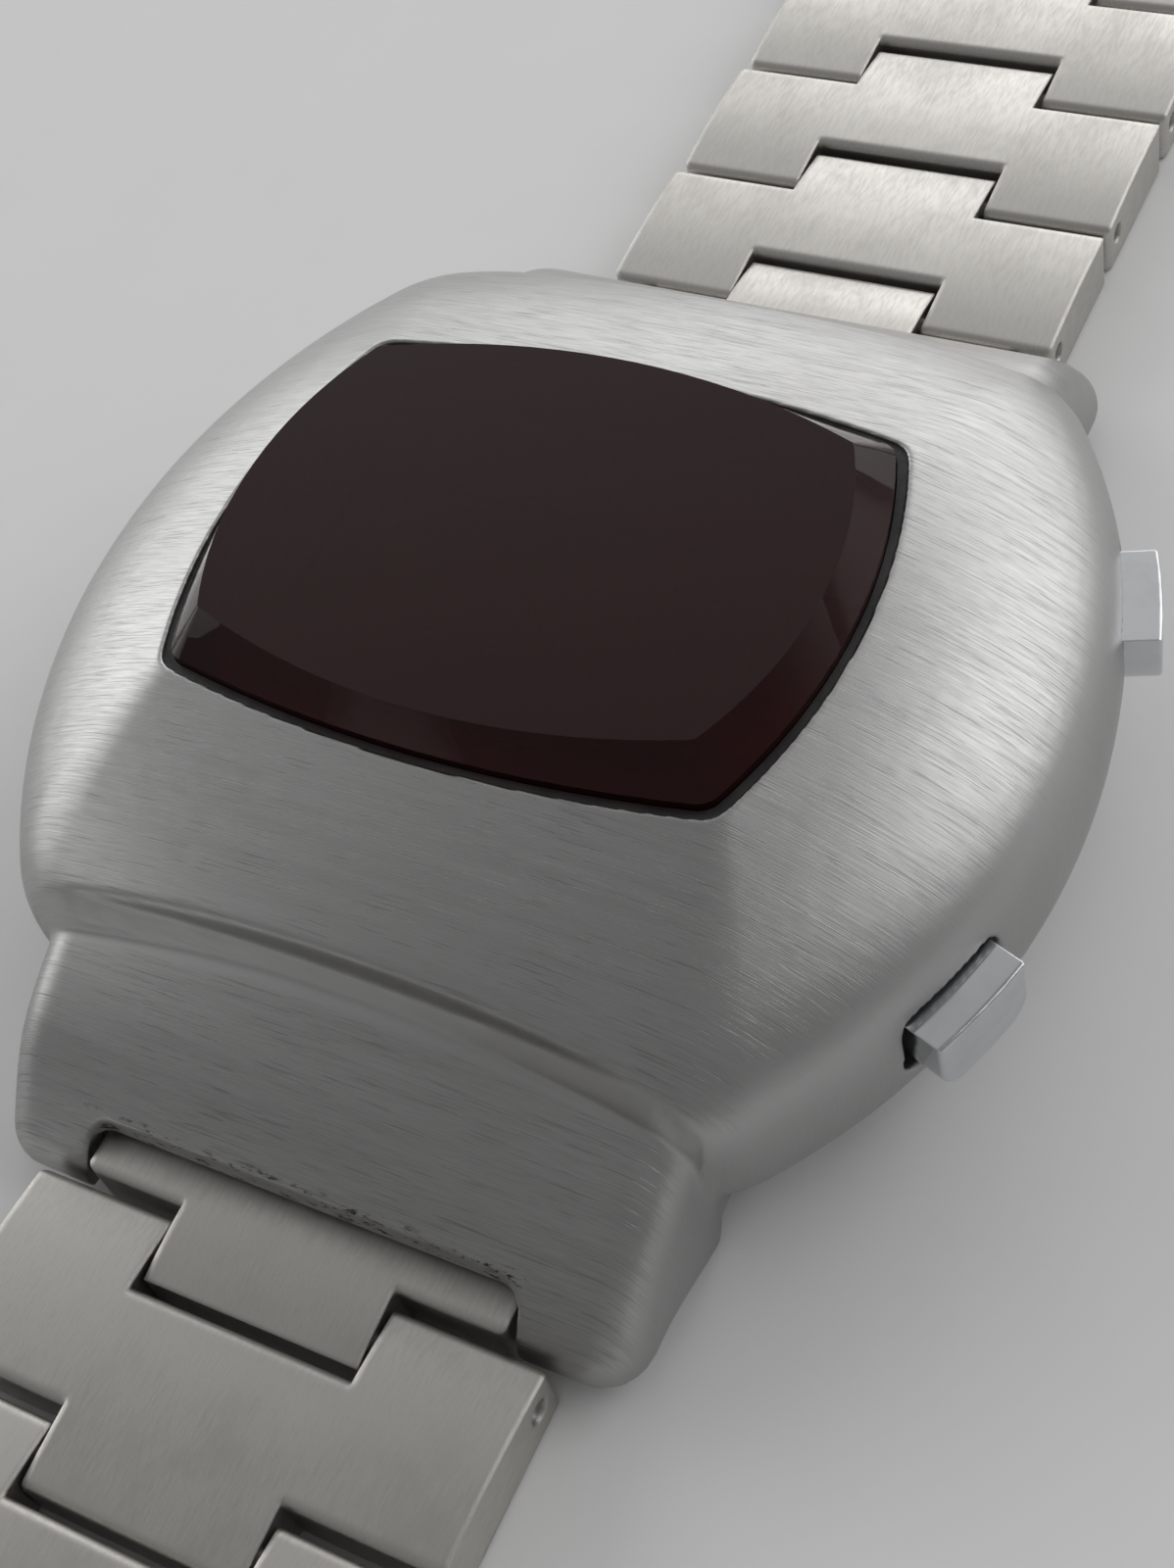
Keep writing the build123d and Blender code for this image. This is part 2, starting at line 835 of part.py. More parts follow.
with BuildPart() as circuit_board:
    with BuildSketch(Plane.XY.offset(board_level)):
        add(rounded(board_half_width, board_half_height, board_corner))
    extrude(amount=board_thickness)
finish(circuit_board.part, "circuit_board")

board_top = board_level + board_thickness
with BuildPart() as display_substrate:
    with BuildSketch(Plane.XY.offset(board_top)):
        Rectangle(2 * display_half_width, 2 * display_half_height)
    extrude(amount=display_thickness)
finish(display_substrate.part, "display_substrate")

digit_places = [(place - (digit_count - 1) / 2) * digit_spread for place in range(digit_count)]
digit_lean = math.tan(math.radians(digit_slant))


def leaning(x, y):
    """A point of an upright numeral, moved across by the numerals' slant."""
    return (x + y * digit_lean, y)


def segment_outline(start, end):
    """A bar between two points of an upright numeral, leaning with it."""
    across = segment_width / 2
    if start[1] == end[1]:
        corners = [
            (start[0], start[1] - across),
            (end[0], end[1] - across),
            (end[0], end[1] + across),
            (start[0], start[1] + across),
        ]
    else:
        corners = [
            (start[0] - across, start[1]),
            (start[0] + across, start[1]),
            (end[0] + across, end[1]),
            (end[0] - across, end[1]),
        ]
    return [leaning(x, y) for x, y in corners]


with BuildPart() as led_digits:
    bar_x = digit_width / 2
    bar_y = digit_height / 2
    inset = segment_width / 2 + segment_gap
    with BuildSketch(Plane.XY.offset(board_top + display_thickness)):
        for middle in digit_places:
            level_bars = [((-bar_x + inset, y), (bar_x - inset, y)) for y in (-bar_y, 0, bar_y)]
            upright_bars = [
                ((x, y + inset), (x, y + bar_y - inset)) for x in (-bar_x, bar_x) for y in (-bar_y, 0)
            ]
            for start, end in level_bars + upright_bars:
                with BuildLine():
                    Polyline(
                        *[(x + middle, y) for x, y in segment_outline(start, end)], close=True
                    )
                make_face()
        with Locations(leaning(0, colon_offset), leaning(0, -colon_offset)):
            Circle(colon_radius)
    extrude(amount=segment_thickness)
finish(led_digits.part, "led_digits")

with BuildPart() as display_mask:
    with BuildSketch(Plane.XY.offset(module_top)):
        add(
            rounded(
                chamber_half_width - mask_inset,
                chamber_half_height - mask_inset,
                chamber_corner - mask_inset,
            )
        )
        add(
            rounded(mask_window_half_width, mask_window_half_height, mask_window_corner),
            mode=Mode.SUBTRACT,
        )
    extrude(amount=mask_thickness)
finish(display_mask.part, "display_mask")

with BuildPart() as driver_chip:
    with BuildSketch(Plane.XY.offset(board_top)):
        with Locations((0, chip_reach)):
            Rectangle(chip_length, chip_width)
    extrude(amount=chip_height)
    with BuildSketch(Plane.XY.offset(board_top)):
        with Locations((0, chip_reach)):
            with GridLocations(
                chip_lead_pitch, chip_width + chip_lead_length, chip_lead_count, 2
            ):
                Rectangle(chip_lead_width, chip_lead_length)
    extrude(amount=chip_lead_thickness)
finish(driver_chip.part, "driver_chip")

with BuildPart() as quartz_can:
    with BuildSketch(Plane.YZ):
        with Locations((can_reach, board_level - can_radius)):
            Circle(can_radius)
    extrude(amount=can_length / 2, both=True)
finish(quartz_can.part, "quartz_can")

with BuildPart() as trimmer:
    with BuildSketch(Plane.XY.offset(board_level)):
        with Locations((0, -trimmer_reach)):
            Circle(trimmer_radius)
    extrude(amount=-trimmer_height)
    with BuildSketch(Plane.XY.offset(board_level - trimmer_height)):
        with Locations((0, -trimmer_reach)):
            Rectangle(3 * trimmer_radius, trimmer_slot_width)
    extrude(amount=trimmer_slot_width, mode=Mode.SUBTRACT)
finish(trimmer.part, "trimmer")

with BuildPart() as capacitors:
    with BuildSketch(Plane.XY.offset(board_top)):
        with Locations((0, -capacitor_reach)):
            with GridLocations(capacitor_pitch, capacitor_pitch, capacitor_count, 1):
                Rectangle(capacitor_length, capacitor_width)
    extrude(amount=capacitor_height)
finish(capacitors.part, "capacitors")

with BuildPart() as switch_pads:
    for side in (1, -1):
        with BuildSketch(button_plane(side, switch_bay_back)):
            Rectangle(switch_pad_width, switch_pad_height)
        extrude(amount=switch_pad_thickness)
finish(switch_pads.part, "switch_pads")

# Bracelet
column_start = tongue_half_width + tongue_side_gap
column_end = link_pitch - arm_reach - arm_gap
middle_start = tip_reach + tip_gap
tongue_end = link_pitch + tip_reach


def arched_profile(start, end):
    """A stretch of the side profile that a link's arms and tongue share, with round upper ends."""
    with BuildSketch() as profile:
        with BuildLine():
            Polyline(
                (tongue_end, strap_top - strap_crown),
                (tongue_end, strap_floor),
                (-arm_reach, strap_floor),
                (-arm_reach, strap_top - strap_crown),
            )
            ThreePointArc(
                (-arm_reach, strap_top - strap_crown),
                ((tongue_end - arm_reach) / 2, strap_top),
                (tongue_end, strap_top - strap_crown),
            )
        make_face()
        with Locations((start, 0)):
            Rectangle(
                end - start,
                strap_top + overrun,
                align=(Align.MIN, Align.MIN),
                mode=Mode.INTERSECT,
            )
        fillet(profile.vertices().filter_by(lambda vertex: vertex.Y > pin_level), link_end_round)
    return profile.sketch


def bracelet_link(side, reach, name):
    """One link: two side columns, and a middle whose tongue reaches into the next link."""
    width = strap_half_width - column_start
    with BuildPart() as link:
        with BuildSketch(strap_profile(side, reach)):
            add(arched_profile(-arm_reach, column_end))
        extrude(amount=strap_half_width, both=True)
        with BuildSketch(strap_plan(side, reach, 0)) as plan:
            for x in (-1, 1):
                with Locations((x * (column_start + width / 2), (column_end - arm_reach) / 2)):
                    Rectangle(width, column_end + arm_reach)
            outer = plan.vertices().filter_by(lambda vertex: abs(vertex.X) > column_start + width / 2)
            fillet(outer, link_corner)
        extrude(amount=strap_top + overrun, mode=Mode.INTERSECT)
        for end, half_width in ((column_end, column_start), (tongue_end, tongue_half_width)):
            with BuildSketch(strap_profile(side, reach)):
                add(arched_profile(middle_start, end))
            extrude(amount=half_width, both=True)
        with BuildSketch(strap_profile(side, reach, pin_level)):
            Circle(pin_radius)
        extrude(amount=strap_half_width + overrun, both=True, mode=Mode.SUBTRACT)
        with BuildSketch(strap_profile(side, reach + link_pitch, pin_level)):
            Circle(pin_radius + pin_clearance)
        extrude(amount=strap_half_width, both=True, mode=Mode.SUBTRACT)
    finish(link.part, name)


def cross_bar(side, reach, level, steps, name):
    """A round bar across the strap, in one or more steps of radius and half length."""
    with BuildPart() as bar:
        for radius, half_length in steps:
            with BuildSketch(strap_profile(side, reach, level)):
                Circle(radius)
            extrude(amount=half_length, both=True)
    finish(bar.part, name)


for word, side in sides.items():
    for index in range(link_count):
        reach = first_pin_reach + index * link_pitch
        bracelet_link(side, reach, f"link_{word}_{index + 1}")
        cross_bar(
            side,
            reach,
            pin_level,
            ((pin_radius, strap_half_width - pin_recess),),
            f"pin_{word}_{index + 1}",
        )


def spring_bar(side, name):
    """A spring bar between a hood's two side walls, with a thinner tip at each end."""
    half_length = notch_half_width - bar_end_gap
    steps = ((bar_radius, half_length), (bar_tip_radius, half_length + bar_tip_length))
    cross_bar(side, bar_reach, bar_level, steps, name)


def end_link(side, name):
    """The piece that hangs on the spring bar and ends in a tongue for the first link."""
    bar_end = first_pin_reach - arm_reach - end_link_shoulder_gap
    with BuildPart() as piece:
        with BuildSketch(strap_profile(side, 0)):
            with Locations((bar_reach, bar_level)):
                Circle(end_link_knuckle_radius)
            with BuildLine():
                Polyline(
                    (bar_reach, end_link_floor),
                    (bar_end, end_link_floor),
                    (bar_end, strap_top),
                    (bar_reach, strap_top),
                    close=True,
                )
            make_face()
        extrude(amount=notch_half_width - end_link_side_gap, both=True)
        end_edges = piece.edges().group_by(Axis.Y)[-1 if side > 0 else 0].filter_by(
            lambda edge: edge.center().Z > pin_level
        )
        fillet(end_edges, end_link_round)
        with BuildSketch(strap_profile(side, 0)):
            with BuildLine():
                Polyline(
                    (bar_end - end_link_round, strap_top),
                    (bar_reach, strap_top),
                    (bar_reach, end_link_floor),
                    (first_pin_reach + tip_reach, end_link_floor),
                    (first_pin_reach + tip_reach, strap_top - strap_crown),
                )
                TangentArc(
                    (bar_end - end_link_round, strap_top),
                    (first_pin_reach + tip_reach, strap_top - strap_crown),
                    tangent=(1, 0),
                )
            make_face()
        extrude(amount=tongue_half_width, both=True)
        with BuildSketch(strap_profile(side, bar_reach, bar_level)):
            Circle(bar_radius + bar_clearance)
        extrude(amount=notch_half_width, both=True, mode=Mode.SUBTRACT)
        with BuildSketch(strap_profile(side, first_pin_reach, pin_level)):
            Circle(pin_radius + pin_clearance)
        extrude(amount=notch_half_width, both=True, mode=Mode.SUBTRACT)
    finish(piece.part, name)


for word, side in sides.items():
    spring_bar(side, f"spring_bar_{word}")
    end_link(side, f"end_link_{word}")

# Clasp, on the last pin of each strap
last_pin_reach = first_pin_reach + link_count * link_pitch
clasp_side = sides["06"]
hook_side = sides["12"]
wall_middle = clasp_half_width - clasp_wall / 2
cover_floor = strap_top + cover_lift
cover_start = hinge_reach + hinge_radius + cover_start_gap
cover_end = clasp_length + cover_overhang


def clasp_profile(offset):
    """An upright plane along the clasp, an offset across the strap; local X starts at the last pin."""
    return Plane(
        origin=(clasp_side * offset, clasp_side * last_pin_reach, 0),
        x_dir=(0, clasp_side, 0),
        z_dir=(clasp_side, 0, 0),
    )


with BuildPart() as clasp_base:
    for x in (-1, 1):
        with BuildSketch(clasp_profile(x * wall_middle)) as wall:
            with BuildLine():
                Polyline(
                    (-arm_reach, strap_floor),
                    (clasp_length, strap_floor),
                    (clasp_length, strap_top),
                    (-arm_reach, strap_top),
                    close=True,
                )
            make_face()
            fillet(wall.vertices().group_by(Axis.X)[0], clasp_arm_round)
            fillet(wall.vertices().sort_by_distance(Vector(clasp_length, strap_top))[0], clasp_end_round)
        extrude(amount=clasp_wall / 2, both=True)
    with BuildSketch(strap_plan(clasp_side, last_pin_reach, strap_floor)):
        with Locations((0, (middle_start + clasp_length) / 2)):
            Rectangle(2 * clasp_half_width, clasp_length - middle_start)
    extrude(amount=clasp_floor_thickness)
    for x in (-1, 1):
        with BuildSketch(clasp_profile(x * (hinge_half_width + hinge_gap + ear_width / 2))):
            with BuildLine():
                Polyline(
                    (hinge_reach - hinge_radius, hinge_level),
                    (hinge_reach - hinge_radius, strap_floor),
                    (hinge_reach + hinge_radius, strap_floor),
                    (hinge_reach + hinge_radius, hinge_level),
                )
                ThreePointArc(
                    (hinge_reach + hinge_radius, hinge_level),
                    (hinge_reach, hinge_level + hinge_radius),
                    (hinge_reach - hinge_radius, hinge_level),
                )
            make_face()
        extrude(amount=ear_width / 2, both=True)
        with BuildSketch(clasp_profile(x * clasp_half_width)):
            with Locations((catch_reach, catch_level)):
                Circle(catch_radius)
        extrude(amount=catch_proud, both=True)
    with BuildSketch(clasp_profile(0)):
        with Locations((0, pin_level), (hinge_reach, hinge_level)):
            Circle(pin_radius)
        with Locations((anchor_reach, anchor_level)):
            Circle(anchor_radius)
        for hole in range(adjust_hole_count):
            with Locations((adjust_hole_start + hole * adjust_hole_pitch, pin_level)):
                Circle(pin_radius)
    extrude(amount=strap_half_width, both=True, mode=Mode.SUBTRACT)
finish(clasp_base.part, "clasp_base")

with BuildPart() as clasp_cover:
    with BuildSketch(clasp_profile(0)) as outline:
        with BuildLine():
            Polyline(
                (cover_end, cover_floor + cover_thickness),
                (cover_end, cover_floor - cover_skirt_drop),
                (cover_start, cover_floor - cover_skirt_drop),
                (cover_start, cover_floor + cover_thickness),
            )
            ThreePointArc(
                (cover_start, cover_floor + cover_thickness),
                ((cover_start + cover_end) / 2, cover_floor + cover_thickness + cover_crown),
                (cover_end, cover_floor + cover_thickness),
            )
        make_face()
        fillet(outline.vertices().group_by(Axis.Y)[0], cover_corner)
    extrude(amount=cover_half_width, both=True)
    top_rim = clasp_cover.edges().filter_by(
        lambda edge: edge.center().Z > cover_floor + cover_thickness
        and edge.length > cover_half_width
    )
    fillet(top_rim, cover_top_round)
    with BuildSketch(strap_plan(clasp_side, last_pin_reach, cover_floor)):
        Rectangle(2 * (cover_half_width - cover_skirt), 2 * (cover_end + overrun))
    extrude(amount=-(cover_skirt_drop + overrun), mode=Mode.SUBTRACT)
    with BuildSketch(clasp_profile(0)):
        with Locations((hinge_reach, hinge_level)):
            Circle(hinge_radius)
        with BuildLine():
            Polyline(
                (hinge_reach, hinge_level + hinge_radius - cover_start_gap),
                (hinge_reach, cover_floor),
                (cover_start + hinge_radius, cover_floor),
                (cover_start + hinge_radius, cover_floor + cover_thickness),
                close=True,
            )
        make_face()
    extrude(amount=hinge_half_width, both=True)
    with BuildSketch(clasp_profile(0)):
        with Locations((hinge_reach, hinge_level)):
            Circle(pin_radius + pin_clearance)
    extrude(amount=cover_half_width + overrun, both=True, mode=Mode.SUBTRACT)
finish(clasp_cover.part, "clasp_cover")

with BuildPart() as hook_plate:
    with BuildSketch(strap_profile(hook_side, last_pin_reach, pin_level)):
        Circle(hook_arm_radius)
        with Locations((hook_arm_length / 2, 0)):
            Rectangle(hook_arm_length, 2 * hook_arm_radius)
    extrude(amount=hook_half_width, both=True)
    with BuildSketch(strap_profile(hook_side, last_pin_reach)):
        with BuildLine():
            Polyline(
                (hook_arm_length, hook_plate_level + hook_thickness),
                (hook_arm_length, hook_plate_level),
                (hook_length - hook_thickness, hook_plate_level),
                (hook_length - hook_thickness, hook_plate_level - hook_drop),
                (hook_length, hook_plate_level - hook_drop),
                (hook_length, hook_plate_level + hook_thickness),
                close=True,
            )
        make_face()
    extrude(amount=hook_half_width, both=True)
    outer_corners = hook_plate.edges().filter_by(Axis.Z).group_by(Axis.Y)[-1]
    fillet(outer_corners, hook_corner)
    with BuildSketch(strap_plan(hook_side, last_pin_reach, 0)):
        Rectangle(2 * column_start, 2 * middle_start)
    extrude(amount=strap_top + overrun, mode=Mode.SUBTRACT)
    with BuildSketch(strap_profile(hook_side, last_pin_reach, pin_level)):
        Circle(pin_radius)
    extrude(amount=hook_half_width + overrun, both=True, mode=Mode.SUBTRACT)
finish(hook_plate.part, "hook_plate")

pin_inset = clasp_half_width - pin_recess
cross_bar(clasp_side, last_pin_reach, pin_level, ((pin_radius, pin_inset),), "clasp_link_pin")
cross_bar(
    clasp_side,
    last_pin_reach + anchor_reach,
    anchor_level,
    ((anchor_radius, pin_inset),),
    "clasp_anchor_bar",
)
cross_bar(
    clasp_side,
    last_pin_reach + hinge_reach,
    hinge_level,
    ((pin_radius, hinge_half_width + hinge_gap + ear_width - pin_recess),),
    "clasp_hinge_pin",
)
cross_bar(
    hook_side, last_pin_reach, pin_level, ((pin_radius, hook_half_width - pin_recess),), "hook_pin"
)
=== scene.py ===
import json
import math

import bpy
import numpy as np
from mathutils import Matrix, Vector


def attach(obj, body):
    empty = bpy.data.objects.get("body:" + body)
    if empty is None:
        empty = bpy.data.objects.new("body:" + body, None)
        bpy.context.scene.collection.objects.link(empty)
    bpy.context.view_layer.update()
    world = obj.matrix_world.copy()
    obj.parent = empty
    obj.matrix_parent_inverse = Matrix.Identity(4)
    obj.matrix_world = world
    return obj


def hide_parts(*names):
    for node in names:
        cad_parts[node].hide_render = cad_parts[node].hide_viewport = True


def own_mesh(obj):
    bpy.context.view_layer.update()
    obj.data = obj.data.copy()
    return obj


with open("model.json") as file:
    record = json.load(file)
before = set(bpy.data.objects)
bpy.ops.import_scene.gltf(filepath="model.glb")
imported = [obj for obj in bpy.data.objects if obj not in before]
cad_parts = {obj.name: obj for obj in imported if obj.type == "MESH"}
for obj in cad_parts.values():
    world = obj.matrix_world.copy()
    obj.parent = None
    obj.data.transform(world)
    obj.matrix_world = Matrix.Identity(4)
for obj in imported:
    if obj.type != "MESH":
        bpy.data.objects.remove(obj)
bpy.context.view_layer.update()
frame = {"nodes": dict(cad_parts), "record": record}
nodes = frame["nodes"]

MM = 0.001

# Places on the case that its finish and its skin follow, in mm from the watch's middle

hood_half_width = 12.6
brow_line = 15.95
brow_wall = 15.66
brow_bow_depth = 0.5
brow_curve = brow_bow_depth / hood_half_width**2
notch_line = 21.3


# Shader building

rising = (0.0, 1.0)
falling = (1.0, 0.0)
bevel_samples = 6


def feed(tree, socket, value):
    """Links a socket where the value is a socket itself, and sets it where the value is a number."""
    if isinstance(value, bpy.types.NodeSocket):
        tree.links.new(value, socket)
    else:
        socket.default_value = value


def add_node(tree, kind, **inputs):
    """A shader node with its named inputs set or linked."""
    made = tree.nodes.new(kind)
    for key, value in inputs.items():
        feed(tree, made.inputs[key.replace("_", " ")], value)
    return made


def new_material(name, colour, metallic, roughness):
    """A material with a Principled shader; returns the material, its tree and the shader."""
    made = bpy.data.materials.new(name)
    made.use_nodes = True
    shader = made.node_tree.nodes["Principled BSDF"]
    shader.inputs["Base Color"].default_value = (*colour, 1.0)
    shader.inputs["Metallic"].default_value = metallic
    shader.inputs["Roughness"].default_value = roughness
    return made, made.node_tree, shader


def place(tree):
    """The socket with a point's place on the object, in metres."""
    return tree.nodes.new("ShaderNodeTexCoord").outputs["Object"]


def stretched_noise(tree, point, scales, detail=2.0, roughness=0.5):
    """Noise whose grain differs along X, Y and Z: scales are grains to the millimetre."""
    mapping = tree.nodes.new("ShaderNodeMapping")
    mapping.inputs["Scale"].default_value = [scale / MM for scale in scales]
    tree.links.new(point, mapping.inputs["Vector"])
    noise = add_node(
        tree,
        "ShaderNodeTexNoise",
        Vector=mapping.outputs["Vector"],
        Scale=1.0,
        Detail=detail,
        Roughness=roughness,
    )
    return noise.outputs["Fac"]


def from_mm(band):
    """A band of lengths given in mm, in metres."""
    return [length * MM for length in band]


def ramp(tree, value, band, span=rising):
    """The value mapped from a band to a span, smoothly and held at the ends."""
    made = tree.nodes.new("ShaderNodeMapRange")
    made.interpolation_type = "SMOOTHSTEP"
    tree.links.new(value, made.inputs["Value"])
    for key, number in zip(("From Min", "From Max", "To Min", "To Max"), (*band, *span)):
        made.inputs[key].default_value = number
    return made.outputs["Result"]


def spread_about(roughness, shares):
    """The two ends of a range of roughness, as shares of its middle."""
    return [roughness * share for share in shares]


def maths(tree, operation, *values):
    """A Math node over sockets or numbers."""
    made = tree.nodes.new("ShaderNodeMath")
    made.operation = operation
    for socket, value in zip(made.inputs, values):
        feed(tree, socket, value)
    return made.outputs["Value"]


def product(tree, first, *others):
    """Sockets or numbers multiplied together."""
    for other in others:
        first = maths(tree, "MULTIPLY", first, other)
    return first


def mix_colour(tree, share, first, second):
    """A colour between two others, each a socket or red, green and blue."""
    made = tree.nodes.new("ShaderNodeMix")
    made.data_type = "RGBA"
    feed(tree, made.inputs["Factor"], share)
    for socket, value in zip((made.inputs[6], made.inputs[7]), (first, second)):
        feed(tree, socket, value if isinstance(value, bpy.types.NodeSocket) else (*value, 1.0))
    return made.outputs[2]


def bump(tree, shader, height, strength, depth, edge_radius=0.0):
    """Raises the shading by a height, over edges that a Bevel node rounds to a radius, in mm."""
    made = add_node(tree, "ShaderNodeBump", Height=height, Strength=strength, Distance=depth * MM)
    if edge_radius:
        edge = add_node(tree, "ShaderNodeBevel", Radius=edge_radius * MM)
        edge.samples = bevel_samples
        tree.links.new(edge.outputs["Normal"], made.inputs["Normal"])
    tree.links.new(made.outputs["Normal"], shader.inputs["Normal"])


# The case's finish

case_colour = (0.45, 0.448, 0.446)
cut_colour = (0.27, 0.268, 0.266)
cloud_colour = (0.37, 0.365, 0.36)
# Near black, painted on as shade: specks at the notch mouths, and the crystal's seat
painted_shade_colour = (0.03, 0.028, 0.026)

# Grains to the millimetre along X, Y and Z

streak_grain = (0.12, 2.4, 0.3)
scratch_grain = (0.4, 17.0, 0.35)
hair_grain = (0.7, 30.0, 0.6)
satin_grain = (8.0, 8.0, 8.0)
cloud_grain = (0.12, 0.12, 0.12)
speck_grain = (1.6, 4.0, 4.0)

# Bands where one finish turns into another: in mm, or for a tilt the upward part of the normal

top_tilt = (0.5, 0.78)
hood_tilt = (0.25, 0.5)
hood_start = (14.6, 16.2)
valley_satin = (0.3, 0.6)
# Where painted shade lies: specks at the notch mouths, and the crystal's seat darkened to near black
notch_mouth_shade = (0.05, 0.35)
mouth_side = (8.2, 9.0)
seat_bottom = (9.35, 9.45)
seat_top = (10.7, 10.8)
seat_end = (9.6, 9.7)
seat_side = (12.9, 13.0)

# Bands of noise in which a mark sets in, and how far it then changes the colour

scratch_band = (0.58, 0.66)
scratch_share = 0.5
streak_band = (0.4, 0.7)
streak_share = (0.0, 0.14)
hair_band = (0.42, 0.6)
hair_share = (0.0, 0.3)
cloud_band = (0.4, 0.75)
cloud_share = (0.0, 0.35)
# The specks are painted shade at the mouths of the hoods' notches
speck_band = (0.52, 0.66)
speck_share = (0.0, 0.9)

# Relief, its depth in mm, and gloss

case_relief = 0.009
case_relief_strength = 0.8
scratch_relief_share = 0.5
hair_relief_share = 0.5
satin_relief_share = 0.15
case_anisotropy = 0.4
case_roughness = (0.3, 0.4)
case_roughness_band = (0.3, 0.7)
satin_extra_roughness = 0.08
cloud_extra_roughness = 0.05
# The painted shade at the notch mouths and on the crystal's seat is also made rougher
painted_shade_extra_roughness = 0.3


def brushed_share(tree, parts, reach):
    """1 on the brushed top and hoods of the case, 0 on its satin walls and in its valleys."""
    facing = tree.nodes.new("ShaderNodeNewGeometry").outputs["Normal"]
    tilt = add_node(tree, "ShaderNodeSeparateXYZ", Vector=facing).outputs["Z"]
    hood = product(tree, ramp(tree, reach, from_mm(hood_start)), ramp(tree, tilt, hood_tilt))
    squared = product(tree, parts["X"], parts["X"])
    behind_brow = maths(tree, "MULTIPLY_ADD", squared, -brow_curve / MM, reach)
    from_brow = maths(tree, "ABSOLUTE", maths(tree, "SUBTRACT", behind_brow, brow_line * MM))
    beside_valley = ramp(tree, from_brow, from_mm(valley_satin))
    return product(tree, beside_valley, maths(tree, "MAXIMUM", ramp(tree, tilt, top_tilt), hood))


def painted_shade_share(tree, point, parts, reach):
    """Painted shade, as how dark a place is: dark specks at the mouths of the hoods' notches, where the
    hoods meet the end links, and the crystal's whole seat.
    """
    sideways = maths(tree, "ABSOLUTE", parts["X"])
    noise = stretched_noise(tree, point, speck_grain, detail=4.0, roughness=0.7)
    from_notch = maths(tree, "ABSOLUTE", maths(tree, "SUBTRACT", reach, notch_line * MM))
    # Dark specks of painted shade where the hood's notch meets the end link
    specks = product(
        tree,
        ramp(tree, noise, speck_band, speck_share),
        ramp(tree, from_notch, from_mm(notch_mouth_shade), falling),
        ramp(tree, sideways, from_mm(mouth_side), falling),
    )
    # The crystal's seat, the ledge under the crystal, painted near black as shade
    seat = product(
        tree,
        ramp(tree, parts["Z"], from_mm(seat_bottom)),
        ramp(tree, parts["Z"], from_mm(seat_top), falling),
        ramp(tree, reach, from_mm(seat_end), falling),
        ramp(tree, sideways, from_mm(seat_side), falling),
    )
    return maths(tree, "MAXIMUM", specks, seat)


def brushed_case():
    """Steel brushed along X on top and on the hoods, satin on the side walls and in the valleys."""
    made, tree, shader = new_material("case_steel_brushed", case_colour, metallic=1.0, roughness=0.34)
    point = place(tree)
    parts = add_node(tree, "ShaderNodeSeparateXYZ", Vector=point).outputs
    reach = maths(tree, "ABSOLUTE", parts["Y"])
    brushed = brushed_share(tree, parts, reach)
    unbrushed = maths(tree, "SUBTRACT", 1.0, brushed)
    painted_shade = painted_shade_share(tree, point, parts, reach)
    streaks = stretched_noise(tree, point, streak_grain)
    coarse = stretched_noise(tree, point, scratch_grain)
    hairs = stretched_noise(tree, point, hair_grain, roughness=0.6)
    satin = stretched_noise(tree, point, satin_grain, detail=3.0, roughness=0.7)
    clouds = stretched_noise(tree, point, cloud_grain)
    scratches = ramp(tree, coarse, scratch_band)

    lines = maths(tree, "MULTIPLY_ADD", scratches, -scratch_relief_share, coarse)
    lines = maths(tree, "MULTIPLY_ADD", hairs, hair_relief_share, lines)
    satin_relief = product(tree, satin, unbrushed, satin_relief_share)
    height = maths(tree, "MULTIPLY_ADD", lines, brushed, satin_relief)
    bump(tree, shader, height, case_relief_strength, case_relief)

    cut = ramp(tree, streaks, streak_band, streak_share)
    cut = maths(tree, "ADD", cut, ramp(tree, hairs, hair_band, hair_share))
    cut = maths(tree, "MULTIPLY_ADD", scratches, scratch_share, cut)
    tone = mix_colour(tree, product(tree, brushed, cut), case_colour, cut_colour)
    tone = mix_colour(tree, ramp(tree, clouds, cloud_band, cloud_share), tone, cloud_colour)
    # Painted shade: specks at the notch mouths and the crystal's seat, mixed towards near black
    tone = mix_colour(tree, painted_shade, tone, painted_shade_colour)
    tree.links.new(tone, shader.inputs["Base Color"])

    rough = ramp(tree, hairs, case_roughness_band, case_roughness)
    rough = maths(tree, "MULTIPLY_ADD", clouds, cloud_extra_roughness, rough)
    rough = maths(tree, "MULTIPLY_ADD", unbrushed, satin_extra_roughness, rough)
    rough = maths(tree, "MULTIPLY_ADD", painted_shade, painted_shade_extra_roughness, rough)
    tree.links.new(rough, shader.inputs["Roughness"])
    shader.inputs["Anisotropic"].default_value = case_anisotropy
    return made


# Grains that several finishes share

drawn_along_x = (0.5, 12.0, 12.0)
drawn_along_y = (9.0, 0.35, 9.0)
drawn_on_straps = (9.0, 1.2, 9.0)
even_grain = (6.0, 6.0, 6.0)


# Satin metal

metal_cloud_grain = (0.25, 0.25, 0.25)
metal_grain_band = (0.35, 0.7)
metal_grain_share = 0.5
metal_cloud_band = (0.4, 0.7)
metal_cloud_share = 0.3
metal_gloss_band = (0.7, 1.3)
metal_gloss_spread = (0.85, 1.2)
metal_relief = 0.008


